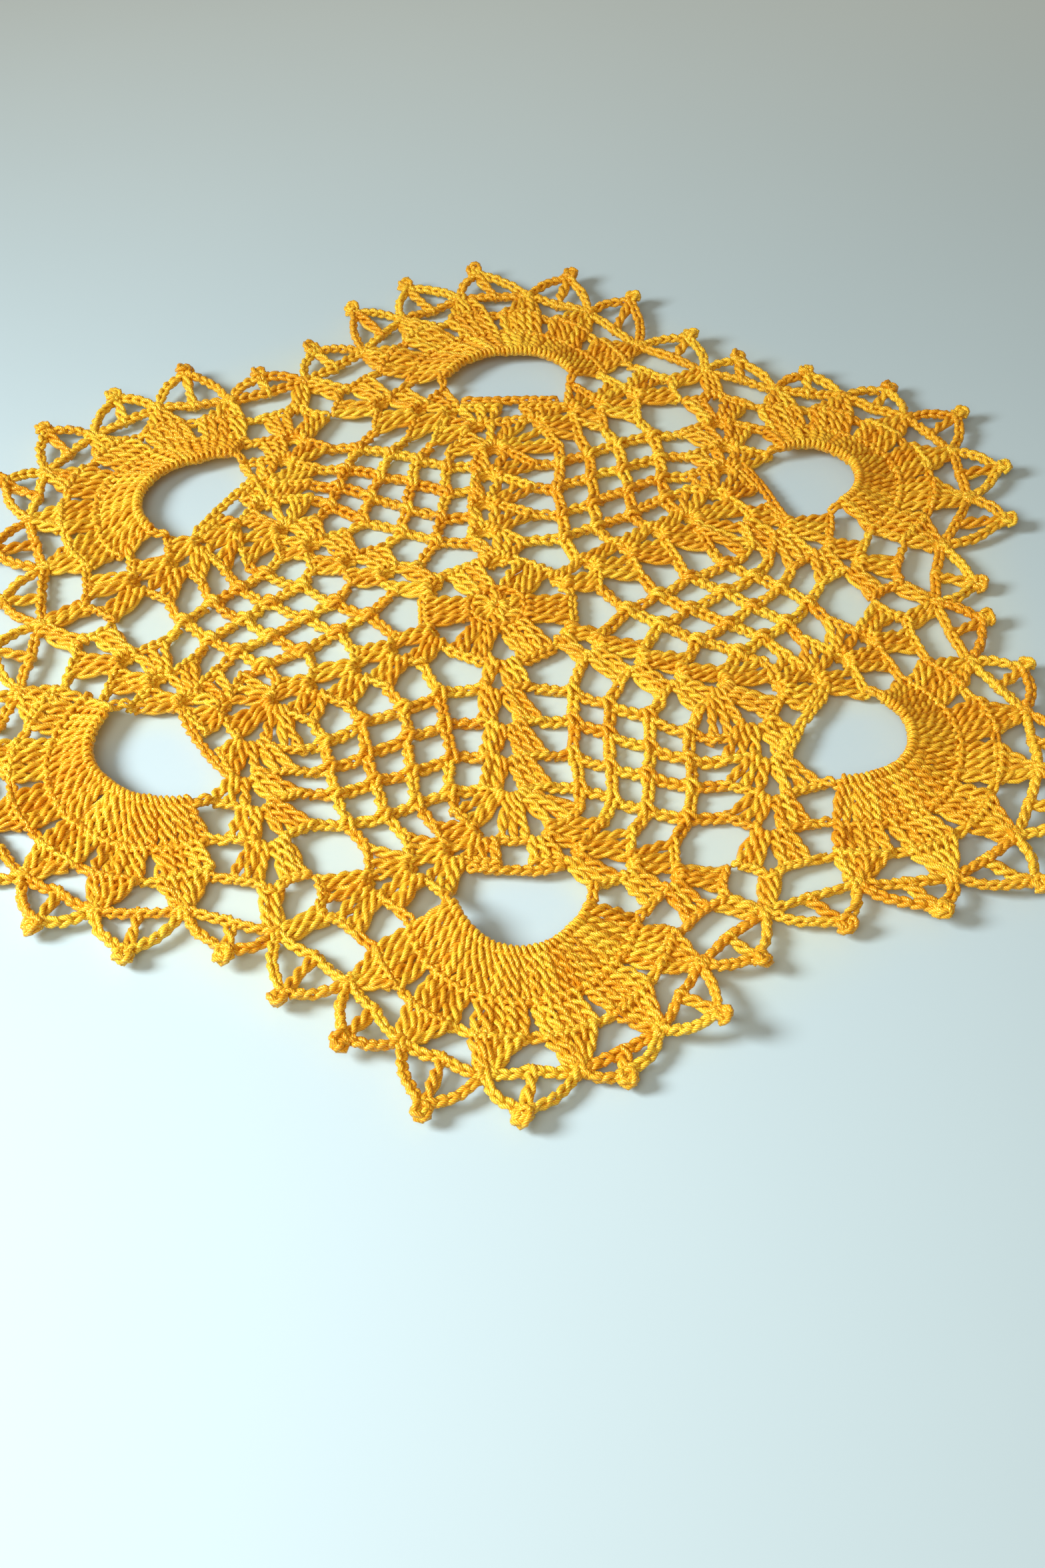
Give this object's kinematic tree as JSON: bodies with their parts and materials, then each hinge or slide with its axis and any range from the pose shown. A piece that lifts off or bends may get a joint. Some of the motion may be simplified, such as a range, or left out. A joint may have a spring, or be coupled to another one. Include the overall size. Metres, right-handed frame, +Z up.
{
  "type": "lace doily",
  "caption": "Round crocheted lace doily with six scalloped lobes, a shell-and-loop centre, open eyes and a pointed picot edging, lying flat.",
  "frame": {"origin": "on the underside, at the middle of the small ring that the crochet starts from", "axes": "+Z up out of the lace, away from the table; -Y points along the axis of the scallop nearest the viewer; +X to the viewer's right"},
  "size_m": [0.1925, 0.2087, 0.0018],
  "materials": {
    "golden_cotton": "mercerised golden yellow crochet cotton, plied, with a soft sheen"
  },
  "bodies": {
    "root": {"doily": "golden_cotton"}
  },
  "joints": []
}
